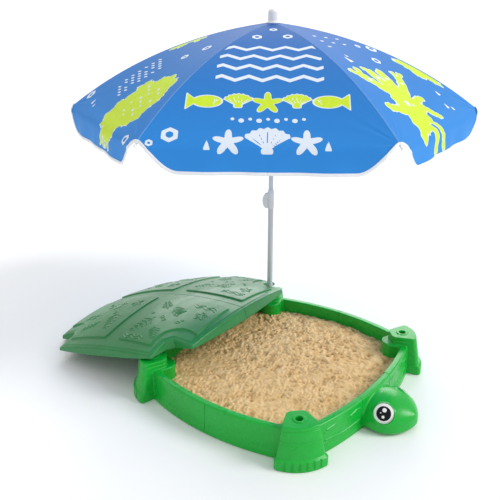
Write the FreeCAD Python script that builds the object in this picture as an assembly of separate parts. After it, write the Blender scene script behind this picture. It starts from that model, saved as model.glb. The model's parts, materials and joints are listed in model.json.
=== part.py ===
"""Turtle sandbox with a two-piece lid and a folding sunshade on a telescopic pole.

Millimetres. +X points to the turtle's head, +Z is up, and the origin is the
centre of the tub on the ground. The lid is off and leans on the two rear legs;
the sunshade stands in the socket of the rear left leg.
"""
import FreeCAD, Part
import math
import os

os.makedirs("parts", exist_ok=True)
V = FreeCAD.Vector
UP = V(0, 0, 1)

# --- tub ------------------------------------------------------------------
SOCKET_X = 354.0            # socket centres, half the spacing along X
SOCKET_Y = 400.0            # and along Y
RIM_Z = 125.0               # height of the rim
POST_Z = 160.0              # height of the leg tops
SIDE_X = SOCKET_X + 95.0              # head and tail side, furthest out
SIDE_X_BOW = 36.0           # how far that side bows out between the legs
SIDE_X_HALF = SOCKET_Y - 87.0   # half the bowed stretch
SIDE_Y = SOCKET_Y + 92.0              # left and right side, furthest out
SIDE_Y_BOW = 45.0
SIDE_Y_HALF = SOCKET_X - 54.0
RIM_WIDTH = 28.0            # outer face of the wall to the sand side
SHEET = 3.0                 # moulded wall thickness
BULGE_R = 85.0              # the sand side wraps round each leg
FLOOR_Z = 8.0               # underside of the tub floor
HEAD_HALF = 110.0           # half width of the head's wall section

# --- legs, seen from above as fans about the socket, u outwards -------------
FAN_IN = -50.0
FAN_IN_HALF = 24.0
FAN_SIDE = 35.0
FAN_SIDE_HALF = 67.0
FAN_OUT = 56.0
LEG_FLARE = 17.0            # how much further out the leg is at the foot
FOOT_FLARE = 5.0
FOOT_Z = 35.0
GROOVE = 2.5                # depth of the grooves round the leg
SOCKET_WALL = 4.0
SOCKET_FLOOR = 12.0         # the socket's floor, its underside
RING_WIDTH = 7.5            # raised ring round the socket's mouth
RING_H = 2.5
TOE_R = 4.0                 # grooves between the toes
TOE_COUNT = 6
TOE_PITCH = 26.0

# --- head -----------------------------------------------------------------
HEAD_NOSE_X = SIDE_X + 177.0
EYE_R = 37.5
EYE_DEPTH = 9.0
EYE_PROUD = 2.0
PUPIL_R = 27.0
PUPIL_H = 2.0
EYE_AT = V(SIDE_X + 72, 85, 80)
EYE_AXIS = V(0.36, 0.79, 0.58)

# --- sand -----------------------------------------------------------------
SAND_EDGE_Z = 66.0
SAND_TOP_Z = 82.0
SAND_CLEAR = 0.4

# --- lid ------------------------------------------------------------------
LID_X = SIDE_X - 17.0
LID_X_BOW = 37.0
LID_Y = SIDE_Y - 14.0
LID_Y_BOW = 33.0
LID_NOTCH_X = SOCKET_X - 69.0   # the corners are cut away beyond this
LID_NOTCH_Y = SOCKET_Y - 55.0   # and beyond this
LID_SKIRT = 35.0
LID_H = 115.0
LID_REACH = LID_Y + 22.0           # the dome meets the skirt's height this far out
LID_PLAN_HALF = LID_Y - 78.0    # half the bowed stretch of the lid's plan, before the notches
LID_CENTRE_X = -(SIDE_X + 176.0)   # where the lid's centre stands when it leans
LID_YAW = 3.5
LID_REST_X = -(SOCKET_X + 31.0)    # the skirt meets the leg tops here
LID_GAP = 0.3
LID_FLANGE = 18.0

# --- sunshade pole ----------------------------------------------------------
LOWER_R = 13.0
TUBE_WALL = 1.6
TUBE_PLAY = 0.4             # the upper tube inside the lower
UPPER_R = LOWER_R - TUBE_WALL - TUBE_PLAY
SOCKET_CLEAR = 1.5          # the lower tube inside a leg's socket
SOCKET_R = LOWER_R + SOCKET_CLEAR
RING_R = SOCKET_R + RING_WIDTH
POLE_BOTTOM = 20.0
LOWER_TOP = 600.0
UPPER_BOTTOM = 330.0
COLLAR_Z = (588.0, 677.0)
COLLAR_R = LOWER_R + 2.5
SLIDE_CLEAR = 0.12
LEVER_AZ = 217.6            # the clamp lever points this way
LEVER_PIVOT = (COLLAR_R + 8.0, 652.0)
PIN_CLEAR = 0.05

# --- sunshade frame ---------------------------------------------------------
RIBS = 6
FIRST_RIB_AZ = 34.73
SHADE_R = 896.0             # axis to the corner of the cloth
SHADE_TIP_Z = 1058.0
SHADE_TOP_Z = 1412.0
SHADE_HOLE_R = 30.0         # hole in the cloth at the crown, to its corners
RIB_ARCH = 60.0             # rise of the rib's arch over its chord
CLOTH = 0.8
VALANCE = 105.0
VALANCE_CUT = 130.0         # the valance reaches full depth this far from a tip
RIB_R = 2.5
RIB_CLEAR = 0.675736
RIB_PIVOT_R = 18.0
CROWN_R = 25.0
CROWN_H = 15.0
RUNNER_R = 26.0
RUNNER_H = 40.0
RUNNER_PIVOT_R = 20.0
ARM_JOINT = 260.0           # from the rib's pivot to the boss that meets the arm
ARM_DROP = 5.0              # the arm's joint lies this far under the rib
ARM_LENGTH = 300.0
ARM_W = 8.0
ARM_T = 1.5
ARM_SIDE = 6.0              # the arm runs beside the rib, this far off
PIN_R = 1.5
BOSS_R = 4.5
CAP_R = 4.5
CAP_OUT = 18.0
FINIAL_R = 21.0
FINIAL_H = 60.0


def save(name, shape):
    """Write one sub-part and print its size."""
    shape.exportStep("parts/" + name + ".step")
    box = shape.BoundBox
    print("%-16s %2d solids %8.1f cm3  z %.1f to %.1f"
          % (name, len(shape.Solids), shape.Volume / 1000, box.ZMin, box.ZMax))


def arc(a, through, b):
    return Part.Arc(a, through, b).toShape()


def line(a, b):
    return Part.LineSegment(a, b).toShape()


def polygon(points):
    return Part.makePolygon(points + [points[0]])


def prism(wire, z0, z1):
    """A wire drawn at z = 0, raised between two heights."""
    solid = Part.Face(wire).extrude(V(0, 0, z1 - z0))
    solid.translate(V(0, 0, z0))
    return solid


def box(x0, x1, y0, y1, z0, z1):
    return Part.makeBox(x1 - x0, y1 - y0, z1 - z0, V(x0, y0, z0))


def tube(outer, inner, z0, z1):
    body = Part.makeCylinder(outer, z1 - z0, V(0, 0, z0))
    return body.cut(Part.makeCylinder(inner, z1 - z0 + 2, V(0, 0, z0 - 1)))


def spin(shape, degrees):
    turned = shape.copy()
    turned.rotate(V(0, 0, 0), UP, degrees)
    return turned


def moved(shape, x, y, z=0.0):
    copy = shape.copy()
    copy.translate(V(x, y, z))
    return copy


def bolt(start, direction, grip, radius, head_r, head_h):
    """A headed bolt with its nut, on one axis: the grip is what it clamps."""
    head = Part.makeCylinder(head_r, head_h, start - direction * head_h, direction)
    shank = Part.makeCylinder(radius, grip + head_h + 1, start, direction)
    nut = Part.makeCylinder(head_r, head_h, start + direction * grip, direction)
    return head.fuse([shank, nut]).removeSplitter()


# --- tub --------------------------------------------------------------------
def outline(inset, side_x=SIDE_X, bow_x=SIDE_X_BOW, half_y=SIDE_X_HALF,
            side_y=SIDE_Y, bow_y=SIDE_Y_BOW, half_x=SIDE_Y_HALF):
    """Four bowed sides joined by straight corners, drawn inset from the outside."""
    x, y = side_x - inset, side_y - inset
    edges, ends = [], []
    sides = ((V(x, 0, 0), V(x - bow_x, -half_y, 0), V(x - bow_x, half_y, 0)),
             (V(0, y, 0), V(half_x, y - bow_y, 0), V(-half_x, y - bow_y, 0)))
    for turn in (0, 180):
        for middle, start, end in sides:
            points = [FreeCAD.Rotation(UP, turn).multVec(p) for p in (start, middle, end)]
            edges.append(arc(*points))
            ends.append((points[0], points[2]))
    corners = [line(ends[i][1], ends[(i + 1) % 4][0]) for i in range(4)]
    return Part.Wire([e for pair in zip(edges, corners) for e in pair])


def at_corners(shape):
    """Copies of a leg's shape, drawn about the origin with +X outwards."""
    places = []
    for sx, sy in ((1, 1), (-1, 1), (-1, -1), (1, -1)):
        angle = math.degrees(math.atan2(sy, sx))
        places.append(moved(spin(shape, angle), sx * SOCKET_X, sy * SOCKET_Y))
    return places


def fan(flare, inset=0.0):
    """The leg's section: a blunt inner edge, spreading sides and a round outside."""
    half_in = FAN_IN_HALF - inset * 0.7
    half_out = FAN_SIDE_HALF + flare - inset * 1.3
    x_in, x_side, x_out = FAN_IN + inset, FAN_SIDE + flare * 0.6, FAN_OUT + flare - inset
    a, b = V(x_in, -half_in, 0), V(x_side, -half_out, 0)
    c, d = V(x_side, half_out, 0), V(x_in, half_in, 0)
    return Part.Wire([line(a, b), arc(b, V(x_out, 0, 0), c), line(c, d), line(d, a)])


def loft(sections):
    """A ruled solid through (height, wire) sections."""
    wires = []
    for z, wire in sections:
        raised = wire.copy()
        raised.translate(V(0, 0, z))
        wires.append(raised)
    return Part.makeLoft(wires, True, True)


def leg():
    groove_top, groove_low = POST_Z - 16, FOOT_Z + (POST_Z - FOOT_Z) * 0.55
    body = loft([(FOOT_Z, fan(LEG_FLARE)), (POST_Z - 3, fan(0.0)), (POST_Z, fan(0.0, 2.0))])
    foot = loft([(0, fan(LEG_FLARE + FOOT_FLARE)), (FOOT_Z, fan(LEG_FLARE + FOOT_FLARE, 2.0))])
    solid = body.fuse(foot)
    for z in (groove_top, groove_low):
        share = (POST_Z - z) / (POST_Z - FOOT_Z)
        band = prism(fan(60.0), z, z + 3.5)
        solid = solid.cut(band.cut(prism(fan(LEG_FLARE * share, GROOVE), z - 1, z + 5)))
    flare = LEG_FLARE + FOOT_FLARE
    radius = cap_radius(FAN_SIDE_HALF + flare, FAN_OUT - FAN_SIDE + flare * 0.4)
    for i in range(TOE_COUNT):
        y = (i - (TOE_COUNT - 1) / 2) * TOE_PITCH
        x = FAN_OUT + flare - radius + math.sqrt(radius ** 2 - y * y) + TOE_R * 0.45
        solid = solid.cut(Part.makeCylinder(TOE_R, FOOT_Z * 0.8, V(x, y, 3)))
    return solid


def leg_hollow():
    """The space inside a leg, round the socket's tube."""
    top = POST_Z - SHEET
    hollow = loft([(-1, fan(LEG_FLARE, SHEET + 5)), (top, fan(0.0, SHEET + 3))])
    return hollow.cut(Part.makeCylinder(SOCKET_R + SOCKET_WALL, top, V(0, 0, SOCKET_FLOOR)))


def cavity(grow=0.0):
    """The sand's space seen from above; grow widens it into the wall."""
    wire = outline(RIM_WIDTH - grow)
    space = prism(wire, FLOOR_Z - 20, POST_Z + 20)
    round_leg = Part.makeCylinder(BULGE_R - grow, 400, V(0, 0, -100))
    for piece in at_corners(round_leg):
        space = space.cut(piece)
    return space


def tub():
    """The whole tub shell, before it is parted into halves and head section."""
    wall = loft([(0, outline(-8.0)), (14, outline(-5.0)), (RIM_Z - 4, outline(0.0)), (RIM_Z, outline(2.5))])
    for piece in at_corners(leg()):
        wall = wall.fuse(piece)
    inner = cavity()
    sand_space = inner.common(box(-600, 600, -600, 600, FLOOR_Z + SHEET, 400))
    wall = wall.cut(sand_space)
    inner_skin = cavity(SHEET)
    trench = prism(outline(SHEET), -1, RIM_Z - SHEET)
    trench = trench.cut(inner_skin)
    for piece in at_corners(leg_hollow()):
        trench = trench.fuse(piece.cut(inner_skin))
    # the halves and the head section end in walls that the bolts clamp
    for wall_box in (box(-SHEET, SHEET, -600, 600, -5, 400),
                     box(300, 600, HEAD_HALF - SHEET, HEAD_HALF + SHEET, -5, 400),
                     box(300, 600, -HEAD_HALF - SHEET, -HEAD_HALF + SHEET, -5, 400)):
        trench = trench.cut(wall_box)
    below_floor = inner_skin.common(box(-600, 600, -600, 600, -5, FLOOR_Z))
    wall = wall.cut(trench).cut(below_floor.cut(box(-SHEET, SHEET, -600, 600, -5, 400)))
    sockets = at_corners(Part.makeCylinder(SOCKET_R, 400, V(0, 0, SOCKET_FLOOR + SHEET)))
    ring = tube(RING_R, SOCKET_R, POST_Z - 1, POST_Z + RING_H)
    for piece in at_corners(ring):
        wall = wall.fuse(piece)
    return wall.cut(sockets)


def head_profile(t):
    """Half width, top and bottom of the head, t from 0 at the wall to 1 at the nose."""
    width = 106.0 + 26.0 * t - 70.0 * t ** 3.0
    top = 119.0 + 62.0 * t - 112.0 * t ** 2.0
    low = 2.0 + 34.0 * t ** 5
    return width * math.sqrt(max(0.0, 1 - t ** 5)), top, low


def head_section(x, t, inset=0.0):
    half, top, low = head_profile(t)
    half, top, low = half - inset, top - inset, low + inset
    mid, tall = (top + low) / 2, (top - low) / 2
    points = []
    for i in range(16):
        a = 2 * math.pi * i / 16
        ca, sa = math.cos(a), math.sin(a)
        y = half * math.copysign(abs(ca) ** 0.85, ca)
        z = mid + tall * math.copysign(abs(sa) ** 0.85, sa)
        points.append(V(x, y, z))
    curve = Part.BSplineCurve()
    curve.interpolate(points, PeriodicFlag=True)
    return Part.Wire([curve.toShape()])


def head_body(inset=0.0, start_x=SIDE_X - 14):
    span = HEAD_NOSE_X - inset - start_x
    shares = (0.0, 0.15, 0.32, 0.5, 0.66, 0.8, 0.9, 0.96)
    sections = [head_section(start_x + span * t, t, inset) for t in shares]
    return Part.makeLoft(sections, True, False)


def eye_side(side):
    centre = V(EYE_AT.x, side * EYE_AT.y, EYE_AT.z)
    axis = V(EYE_AXIS.x, side * EYE_AXIS.y, EYE_AXIS.z).normalize()
    return centre, axis


def eye_disc(side, radius, low, high):
    centre, axis = eye_side(side)
    return Part.makeCylinder(radius, high - low, centre + axis * low, axis)


def tub_parts():
    shell = tub()
    head_box = box(300, 600, -HEAD_HALF, HEAD_HALF, -5, 400)
    # the head section is the wall between its two seams, not the floor
    section_box = head_box.cut(cavity(SHEET))
    front = shell.common(box(0, 700, -700, 700, -5, 400)).cut(section_box)
    rear = shell.common(box(-700, 0, -700, 700, -5, 400))
    section = shell.common(section_box)
    outside = box(SIDE_X - 60, 700, -HEAD_HALF, HEAD_HALF, 0, 400).cut(prism(outline(1.0), -5, 400))
    head = section.fuse(head_body().common(outside)).cut(head_body(SHEET, SIDE_X - 13).common(
        box(SIDE_X - SHEET - 1, 700, -HEAD_HALF + SHEET, HEAD_HALF - SHEET, -5, RIM_Z - SHEET)))
    eyes, pupils = [], []
    for side in (-1, 1):
        # a cup inside the shell holds each eye
        cup = eye_disc(side, EYE_R + SHEET, -EYE_DEPTH - SHEET, 60).common(head_body())
        head = head.fuse(cup.common(outside)).cut(eye_disc(side, EYE_R, -EYE_DEPTH, 60))
        eyes.append(eye_disc(side, EYE_R, -EYE_DEPTH, EYE_PROUD))
        pupils.append(eye_disc(side, PUPIL_R, EYE_PROUD, EYE_PROUD + PUPIL_H))
    return front, rear, head, eyes, pupils


def seam_bolts(points, direction):
    """Bolts through the two end walls that meet at a seam."""
    group = []
    for point in points:
        start = point - direction * SHEET
        group.append(bolt(start, direction, 2 * SHEET, 3.0, 6.0, 4.5))
    return group


def sand():
    space = cavity(-SAND_CLEAR)
    mound = ball(cap_radius(SIDE_Y - RIM_WIDTH, SAND_TOP_Z - SAND_EDGE_Z), SAND_TOP_Z)
    slab = box(-600, 600, -600, 600, FLOOR_Z + SHEET, SAND_TOP_Z + 5)
    return space.common(slab).common(mound)


# --- lid, drawn closed about its own centre, then leaned ----------------------
def lid_plan(inset, z0, z1):
    """The lid seen from above: bowed sides, with a square notch at each corner."""
    plan = outline(inset, LID_X, LID_X_BOW, LID_PLAN_HALF, LID_Y, LID_Y_BOW, LID_PLAN_HALF)
    solid = prism(plan, z0, z1)
    for sx in (-1, 1):
        for sy in (-1, 1):
            x, y = sx * (LID_NOTCH_X - inset), sy * (LID_NOTCH_Y - inset)
            x0, x1 = sorted((x, sx * 700.0))
            y0, y1 = sorted((y, sy * 700.0))
            solid = solid.cut(box(x0, x1, y0, y1, z0 - 1, z1 + 1))
    return solid


def cap_radius(reach, rise):
    """Radius of the ball whose cap rises this much over this reach."""
    return (reach * reach + rise * rise) / (2 * rise)


def ball(radius, top):
    """A ball under a height, with its poles and seam turned away from its top."""
    shape = Part.makeSphere(radius)
    shape.rotate(V(0, 0, 0), V(0, 1, 0), 90)
    return moved(shape, 0, 0, top - radius)


LID_BALL_R = cap_radius(LID_REACH, LID_H - LID_SKIRT)


def lid_ball(lower):
    """The ball whose cap is the shell's dome, lowered to make its inside."""
    return ball(LID_BALL_R - lower, LID_H - lower)


def lid_halves():
    outer = lid_plan(0.0, 0.0, LID_H + 20).common(lid_ball(0.0))
    inner = lid_plan(SHEET, -1.0, LID_H + 20).common(lid_ball(SHEET))
    flange_space = inner.cut(lid_ball(SHEET + LID_FLANGE))
    flanges = flange_space.common(box(-700, 700, -SHEET, SHEET, -5, 400))
    shell = outer.cut(inner.cut(flanges))
    return shell.common(box(-700, 700, -700, 0, -5, 400)), shell.common(box(-700, 700, 0, 700, -5, 400))


def lid_reach():
    """How far the bowed tail edge lies from the centre once the lid is turned."""
    radius = cap_radius(LID_PLAN_HALF, LID_X_BOW)
    turn = math.radians(LID_YAW)
    return radius - (radius - LID_X) * math.cos(turn)


def lid_tilt():
    """The lean at which the skirt clears the legs and the tail edge meets the ground."""
    low, high = 5.0, 25.0
    for _ in range(60):
        tilt = (low + high) / 2
        ground = LID_CENTRE_X - lid_reach() * math.cos(math.radians(tilt))
        height = (LID_REST_X - ground) * math.tan(math.radians(tilt))
        if height < POST_Z + LID_GAP:
            low = tilt
        else:
            high = tilt
    return tilt, ground


def lean(shape):
    """Turn the lid in its own plane, tilt it and set its tail edge on the ground."""
    tilt, _ = lid_tilt()
    placed = shape.copy()
    placed.rotate(V(0, 0, 0), UP, LID_YAW)
    placed.rotate(V(0, 0, 0), V(0, -1, 0), tilt)
    placed.translate(V(LID_CENTRE_X, 0, lid_reach() * math.sin(math.radians(tilt))))
    return placed


def lid_screws():
    lower = LID_FLANGE / 2 + SHEET
    group = []
    for x in (-300.0, -100.0, 100.0, 300.0):
        z = LID_H - LID_BALL_R + math.sqrt((LID_BALL_R - lower) ** 2 - x * x)
        group.append(bolt(V(x, -SHEET, z), V(0, 1, 0), 2 * SHEET, 2.0, 4.5, 3.0))
    return group


# --- sunshade, drawn about the pole's axis, then stood in its socket -----------
def in_socket(shape):
    return moved(shape, -SOCKET_X, SOCKET_Y)


def lower_pole():
    return tube(LOWER_R, LOWER_R - TUBE_WALL, POLE_BOTTOM, LOWER_TOP)


def pole_plug():
    floor = SOCKET_FLOOR + SHEET + LID_GAP
    foot = Part.makeCylinder(LOWER_R, POLE_BOTTOM - floor, V(0, 0, floor))
    return foot.fuse(Part.makeCylinder(LOWER_R - TUBE_WALL, 25, V(0, 0, POLE_BOTTOM - 1))).removeSplitter()


def radial_box(r0, r1, half_width, z0, z1, azimuth, side=0.0):
    """A block that points outwards from the pole at an azimuth."""
    return spin(box(r0, r1, side - half_width, side + half_width, z0, z1), azimuth)


def lock_collar():
    low, high = COLLAR_Z
    body = Part.makeCylinder(COLLAR_R, high - low - 12, V(0, 0, low))
    body = body.fuse(Part.makeCone(COLLAR_R, LOWER_R, 12, V(0, 0, high - 12)))
    pivot_r, pivot_z = LEVER_PIVOT
    for side in (-8.0, 8.0):
        body = body.fuse(radial_box(8, pivot_r + 4, 1.8, pivot_z - 12, pivot_z + 8, LEVER_AZ, side))
    body = body.cut(Part.makeCylinder(LOWER_R, LOWER_TOP - low, V(0, 0, low)))
    body = body.cut(Part.makeCylinder(UPPER_R + SLIDE_CLEAR, 200, V(0, 0, low)))
    return body.cut(lever_pin_solid(0.0))


def lever_pin_solid(clear):
    pivot_r, pivot_z = LEVER_PIVOT
    pin = Part.makeCylinder(2.0 + clear, 20.4, V(pivot_r, -10.2, pivot_z), V(0, 1, 0))
    return spin(pin, LEVER_AZ)


def lock_lever():
    """A half-moon lever that hangs from its pin and hugs the collar."""
    pivot_r, pivot_z = LEVER_PIVOT
    near = COLLAR_R + 0.6
    low = COLLAR_Z[0] + 1
    a, b = V(near, 0, low), V(near + 10, 0, low)
    top_out, top_in = V(pivot_r + 5.0, 0, pivot_z + 4.5), V(near + 2.5, 0, pivot_z + 4.5)
    bulge = V(near + 23, 0, (low + pivot_z) / 2 + 4)
    profile = Part.Wire([line(a, b), arc(b, bulge, top_out), line(top_out, top_in),
                         line(top_in, V(near, 0, pivot_z - 6)), line(V(near, 0, pivot_z - 6), a)])
    body = Part.Face(profile).extrude(V(0, 11.4, 0))
    body.translate(V(0, -5.7, 0))
    for i in range(5):
        z = low + 12 + 6 * i
        body = body.cut(Part.makeCylinder(1.2, 20, V(near + 22.5 - abs(i - 3) * 0.9, -10, z), V(0, 1, 0)))
    return spin(body, LEVER_AZ).cut(lever_pin_solid(PIN_CLEAR))


def upper_pole():
    return tube(UPPER_R, UPPER_R - TUBE_WALL, UPPER_BOTTOM, crown_z() - CROWN_H / 2 + 4)


def crown_z():
    """Height of the crown's top, just under the cap's flange."""
    return SHADE_TOP_Z


def chord_arc(r0, z0, r1, z1, rise):
    """Centre and radius of the arch through two points of a vertical plane."""
    length = math.hypot(r1 - r0, z1 - z0)
    radius = (length * length / 4 + rise * rise) / (2 * rise)
    mid_r, mid_z = (r0 + r1) / 2, (z0 + z1) / 2
    nr, nz = (z0 - z1) / length, (r1 - r0) / length
    return mid_r - nr * (radius - rise), mid_z - nz * (radius - rise), radius


def cloth_z(r):
    """Height of the cloth's outside over a rib."""
    cr, cz, radius = chord_arc(SHADE_HOLE_R, SHADE_TOP_Z, SHADE_R, SHADE_TIP_Z, RIB_ARCH)
    return cz + math.sqrt(radius * radius - (r - cr) ** 2)


CHORD = math.hypot(SHADE_R - SHADE_HOLE_R, SHADE_TOP_Z - SHADE_TIP_Z)
RIB_STEEPEST = (math.atan2(SHADE_TOP_Z - SHADE_TIP_Z, SHADE_R - SHADE_HOLE_R)
                + math.asin(CHORD / 2 / cap_radius(CHORD / 2, RIB_ARCH)))
RIB_DROP = CLOTH + RIB_R / math.cos(RIB_STEEPEST) + RIB_CLEAR   # rib's axis under the cloth's outside


def rib_point(r):
    return V(r, 0, cloth_z(r) - RIB_DROP)


def rib_joint():
    """The point of the rib where its arm is hinged."""
    start = rib_point(RIB_PIVOT_R)
    low, high = RIB_PIVOT_R, SHADE_R
    for _ in range(60):
        r = (low + high) / 2
        if (rib_point(r) - start).Length < ARM_JOINT:
            low = r
        else:
            high = r
    return rib_point(r) - V(0, 0, ARM_DROP)


FOLD_DEG = 64.0                       # how far each rib swings down


def arm_angles():
    """The runner's height and the arm's angle, open and folded."""
    start, joint = rib_point(RIB_PIVOT_R), rib_joint()
    angle = math.atan2(start.z - joint.z, joint.x - start.x)
    reach = (joint - start).Length
    states = []
    for turn in (0.0, math.radians(FOLD_DEG)):
        r = start.x + reach * math.cos(angle + turn)
        z = start.z - reach * math.sin(angle + turn)
        rise = math.sqrt(ARM_LENGTH ** 2 - (r - RUNNER_PIVOT_R) ** 2)
        states.append((z - rise, math.atan2(rise, r - RUNNER_PIVOT_R)))
    return states


RUNNER_Z = arm_angles()[0][0]


def rib():
    """An arched rod with its hinge eye, and the boss that meets the arm."""
    start, end = rib_point(RIB_PIVOT_R), rib_point(SHADE_R - 4)
    middle = rib_point((RIB_PIVOT_R + SHADE_R) / 2)
    path = Part.Wire([arc(start, middle, end)])
    tangent = path.Edges[0].tangentAt(path.Edges[0].FirstParameter)
    section = Part.Wire([Part.makeCircle(RIB_R, start, tangent)])
    rod = path.makePipeShell([section], True, False)
    eye = Part.makeCylinder(RIB_R, 4.4, start - V(0, 2.2, 0), V(0, 1, 0))
    joint = rib_joint()
    boss = Part.makeCylinder(BOSS_R, 2 * ARM_SIDE - 1.2, joint - V(0, ARM_SIDE - 0.6, 0), V(0, 1, 0))
    body = rod.fuse([eye, boss])
    return body.cut(Part.makeCylinder(1.2 + PIN_CLEAR, 10, start - V(0, 5, 0), V(0, 1, 0)))


def rib_cap():
    """The white end cap, with the rod's end inside it."""
    end = rib_point(SHADE_R - 4)
    direction = (end - rib_point(SHADE_R - 24)).normalize()
    start = end - direction * 8
    cap = Part.makeCylinder(CAP_R, CAP_OUT + 8, start, direction)
    cap = cap.fuse(Part.makeSphere(CAP_R, end + direction * CAP_OUT))
    cap.translate(V(0, 0, -2.2))
    return cap.cut(rib())


def crown():
    """The hub on the pole's top, slotted for the ribs."""
    top = crown_z()
    body = Part.makeCylinder(CROWN_R, CROWN_H, V(0, 0, top - CROWN_H))
    body = body.fuse(Part.makeCylinder(UPPER_R + 3, 16, V(0, 0, top - CROWN_H - 14)))
    for i in range(RIBS):
        body = body.cut(radial_box(14.2, 60, 2.9, top - CROWN_H - 1, top + 1, FIRST_RIB_AZ + 60 * i))
    body = body.cut(Part.makeCylinder(UPPER_R, 60, V(0, 0, top - CROWN_H / 2 + 4 - 60)))
    body = body.cut(Part.makeCylinder(UPPER_R - TUBE_WALL, 60, V(0, 0, top - 30)))
    return body.cut(rib_pins())


def rib_pins():
    """One short pin through each slot of the crown."""
    start = rib_point(RIB_PIVOT_R)
    pin = Part.makeCylinder(1.2, 12, start - V(0, 6, 0), V(0, 1, 0))
    return Part.makeCompound([spin(pin, FIRST_RIB_AZ + 60 * i) for i in range(RIBS)])


def finial():
    """The cap over the crown: a flange and a round-topped body."""
    base = crown_z() + LID_GAP
    body = Part.makeCylinder(SHADE_HOLE_R - 0.6, 4, V(0, 0, base))
    body = body.fuse(Part.makeCylinder(FINIAL_R, FINIAL_H - FINIAL_R, V(0, 0, base)))
    top = Part.makeSphere(FINIAL_R, V(0, 0, base + FINIAL_H - FINIAL_R))
    stud = Part.makeCylinder(UPPER_R - TUBE_WALL, 18, V(0, 0, base - 18))
    return body.fuse([top, stud])


def runner():
    """The sleeve that slides on the pole and carries the arms."""
    body = tube(UPPER_R + 5, UPPER_R + SLIDE_CLEAR, RUNNER_Z - RUNNER_H + 8, RUNNER_Z + 8)
    body = body.fuse(tube(RUNNER_R, UPPER_R + SLIDE_CLEAR, RUNNER_Z - 7, RUNNER_Z + 7))
    side = ARM_SIDE + ARM_T / 2
    for i in range(RIBS):
        azimuth = FIRST_RIB_AZ + 60 * i
        body = body.cut(radial_box(14.6, 60, ARM_T / 2 + 0.5, RUNNER_Z - 8, RUNNER_Z + 9, azimuth, side))
    return body.cut(runner_pins())


def runner_pins():
    start = V(RUNNER_PIVOT_R, ARM_SIDE + ARM_T / 2 - 4, RUNNER_Z)
    pin = Part.makeCylinder(PIN_R, 8, start, V(0, 1, 0))
    return Part.makeCompound([spin(pin, FIRST_RIB_AZ + 60 * i) for i in range(RIBS)])


def arm():
    """A flat strip from the runner up to the rib, rounded at both ends."""
    joint = rib_joint()
    inner = V(RUNNER_PIVOT_R, ARM_SIDE, RUNNER_Z)
    outer = V(joint.x, ARM_SIDE, joint.z)
    along = (outer - inner).normalize()
    across = V(-along.z, 0, along.x) * (ARM_W / 2)
    a, b = inner + across, outer + across
    c, d = outer - across, inner - across
    tip, heel = outer + along * (ARM_W / 2), inner - along * (ARM_W / 2)
    wire = Part.Wire([line(a, b), arc(b, tip, c), line(c, d), arc(d, heel, a)])
    strip = Part.Face(wire).extrude(V(0, ARM_T, 0))
    hole = Part.makeCylinder(PIN_R + PIN_CLEAR, 10, inner - V(0, 4, 0), V(0, 1, 0))
    return strip.cut(hole)


def cloth_sector():
    """The cloth over one rib, out to the middle of the panel on each side."""
    count = 13
    radii = [SHADE_HOLE_R + (SHADE_R - SHADE_HOLE_R) * i / (count - 1) for i in range(count)]
    half = math.radians(180.0 / RIBS)
    halves = []
    for side in (-1, 1):
        over_rib, mid_panel = [], []
        for r in radii:
            z = cloth_z(r)
            over_rib.append(V(r, 0, z))
            reach = r * math.sin(half) - 0.2
            mid_panel.append(V(r - reach * math.sin(half), side * reach * math.cos(half), z))
        wires = []
        for edge in (over_rib, mid_panel):
            below = [p - V(0, 0, CLOTH) for p in reversed(edge)]
            wires.append(polygon(edge + below))
        halves.append(Part.makeLoft(wires, True, True))
        # the valance hangs from the panel's edge and is cut away towards the tip
        tip, mid = over_rib[-1], mid_panel[-1]
        along = (mid - tip).normalize()
        inward = V(-math.cos(half), -side * math.sin(half), 0) * CLOTH
        drop = V(0, 0, -VALANCE)
        length = (mid - tip).Length
        edge = [tip + along * 14, mid, mid + drop, tip + along * VALANCE_CUT + drop,
                tip + along * VALANCE_CUT * 0.72 + drop * 0.88, tip + along * VALANCE_CUT * 0.42 + drop * 0.35,
                tip + along * 20 + drop * 0.12]
        if length > VALANCE_CUT:
            halves.append(Part.Face(polygon(edge)).extrude(inward))
    return halves[0].fuse(halves[1:]).removeSplitter()


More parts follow.
